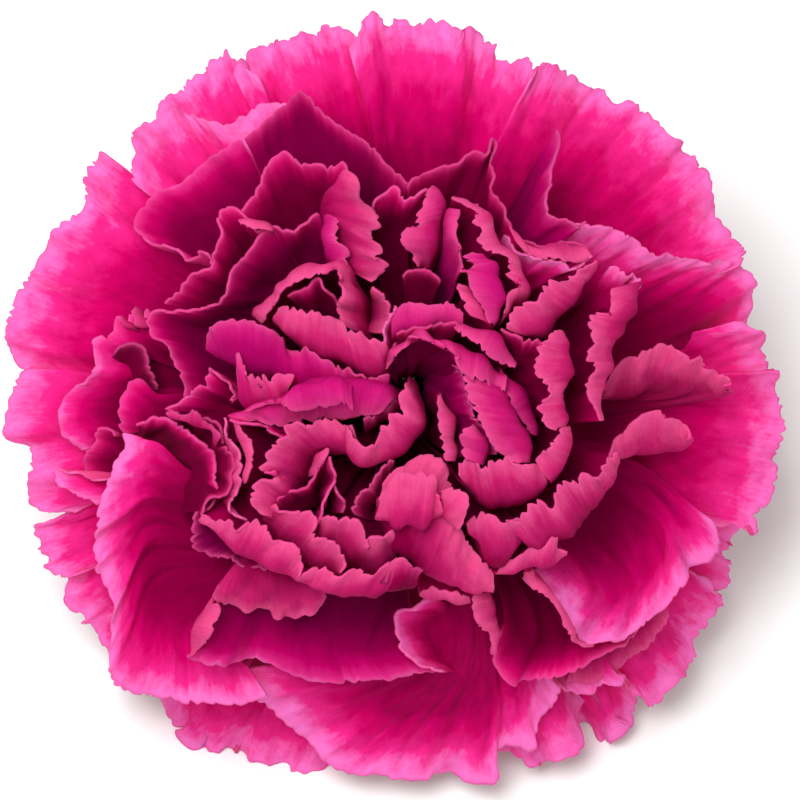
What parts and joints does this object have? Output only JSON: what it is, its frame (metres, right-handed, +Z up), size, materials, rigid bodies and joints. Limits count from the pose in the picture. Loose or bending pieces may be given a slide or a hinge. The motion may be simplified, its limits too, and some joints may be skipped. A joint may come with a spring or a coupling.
{
  "type": "cut carnation bloom",
  "caption": "Fully open ruffled flower head with cut-edged petals, toothed calyx and short stem stub, lying face up.",
  "frame": {"origin": "middle of the footprint on the surface that the bloom lies on", "axes": "+Z up from that surface, +X to the right of the open face, -Y the way the face leans"},
  "size_m": [0.0786, 0.0694, 0.0536],
  "materials": {
    "stem": "waxy, matt",
    "calyx": "waxy, matt",
    "pistil": "soft, matt",
    "petal": "velvety, matt"
  },
  "bodies": {
    "root": {"stem": "stem", "bracts": "calyx", "calyx": "calyx", "pistil": "pistil", "petals": "petal"}
  },
  "joints": []
}
